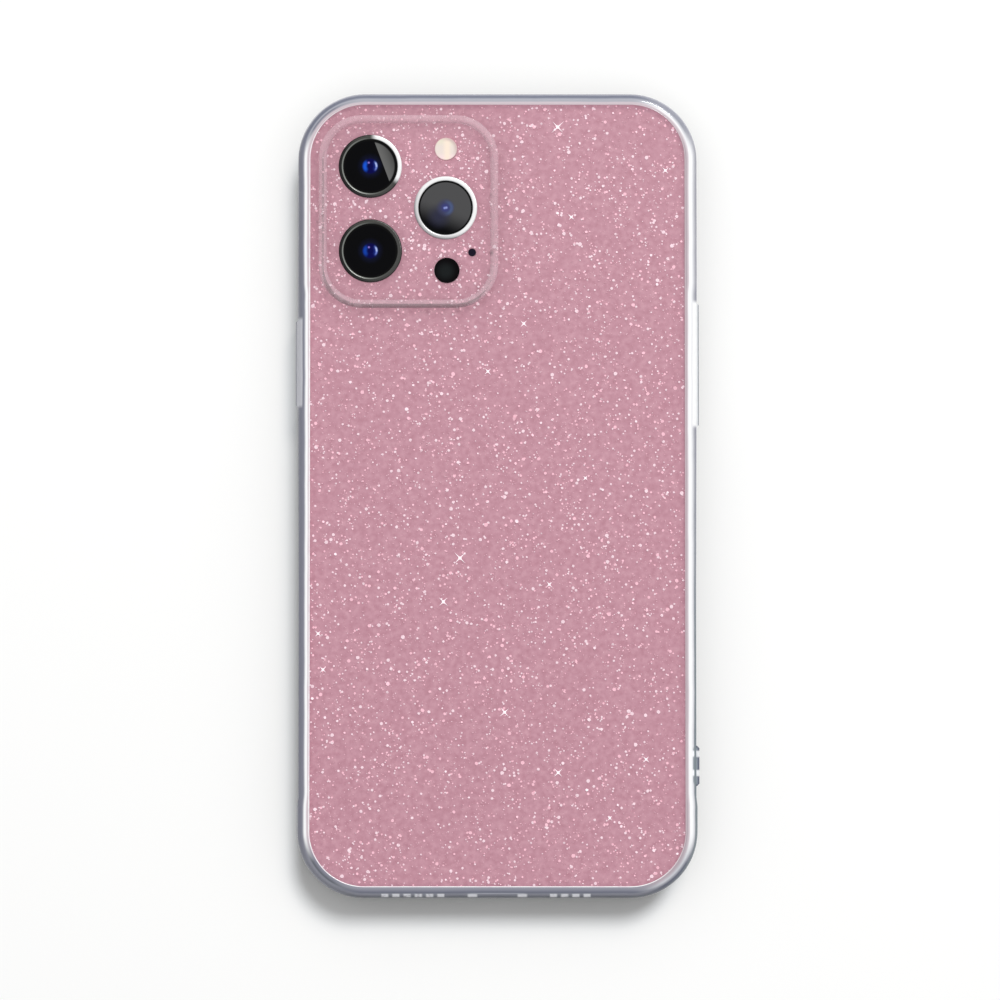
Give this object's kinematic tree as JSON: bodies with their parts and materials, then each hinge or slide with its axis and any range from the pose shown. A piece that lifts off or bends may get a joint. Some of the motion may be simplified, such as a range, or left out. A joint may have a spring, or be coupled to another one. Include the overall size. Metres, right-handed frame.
{
  "type": "phone case",
  "caption": "Slim rounded phone case with a clear soft frame, a pink glitter back, a raised camera deck with round lens guards, and side buttons.",
  "frame": {"origin": "below the middle of the case, in the plane of the front lips it rests on", "axes": "+Z out of the back, +Y towards the camera end, +X to the right seen from behind"},
  "size_m": [0.0822, 0.164, 0.0122],
  "materials": {
    "clear_tpu": "polished clear soft plastic",
    "liner": "soft satin liner",
    "pink_film": "satin printed film",
    "glitter_film": "clear film with pink-silver glitter flakes",
    "clear_plate": "polished clear hard plastic",
    "clear_ridge": "polished clear soft plastic",
    "ring_dark": "dark anodised, turned",
    "ring_bright": "bright polished",
    "lens_glass": "dark coated cover glass",
    "lens_mask": "black adhesive ring",
    "lens_window": "blue anti-reflection coating",
    "flash_lens": "cream diffuser",
    "sensor_glass": "black glass",
    "mesh": "fine black acoustic mesh",
    "clear_button": "polished clear soft plastic"
  },
  "bodies": {
    "shell": {"frame": "clear_tpu", "inner_liner": "liner", "pink_film": "pink_film", "glitter_film": "glitter_film", "back_plate": "clear_plate", "camera_ridge": "clear_ridge", "lens_ring_upper": "ring_dark", "lens_ring_middle": "ring_bright", "lens_ring_lower": "ring_dark", "lens_glass_upper": "lens_glass", "lens_glass_middle": "lens_glass", "lens_glass_lower": "lens_glass", "lens_mask_upper": "lens_mask", "lens_mask_middle": "lens_mask", "lens_mask_lower": "lens_mask", "lens_window_upper": "lens_window", "lens_window_middle": "lens_window", "lens_window_lower": "lens_window", "flash_window": "flash_lens", "sensor_window": "sensor_glass", "mic_mesh": "mesh", "strap_anchor": "clear_tpu"},
    "side_button": {"side_button": "clear_button"},
    "volume_bar": {"volume_bar": "clear_button"}
  },
  "joints": [
    {"name": "side_button_press", "type": "slide", "parent": "shell", "child": "side_button", "axis": [1, 0, 0], "range_m": [0, 0.00035], "stiffness_N_per_m": 1500},
    {"name": "volume_bar_rock", "type": "hinge", "parent": "shell", "child": "volume_bar", "pos_m": [0.0396, 0.0266, 0.00495], "axis": [0, 0, 1], "range_deg": [-1.2, 1.2], "stiffness_Nm_per_rad": 0.4}
  ]
}
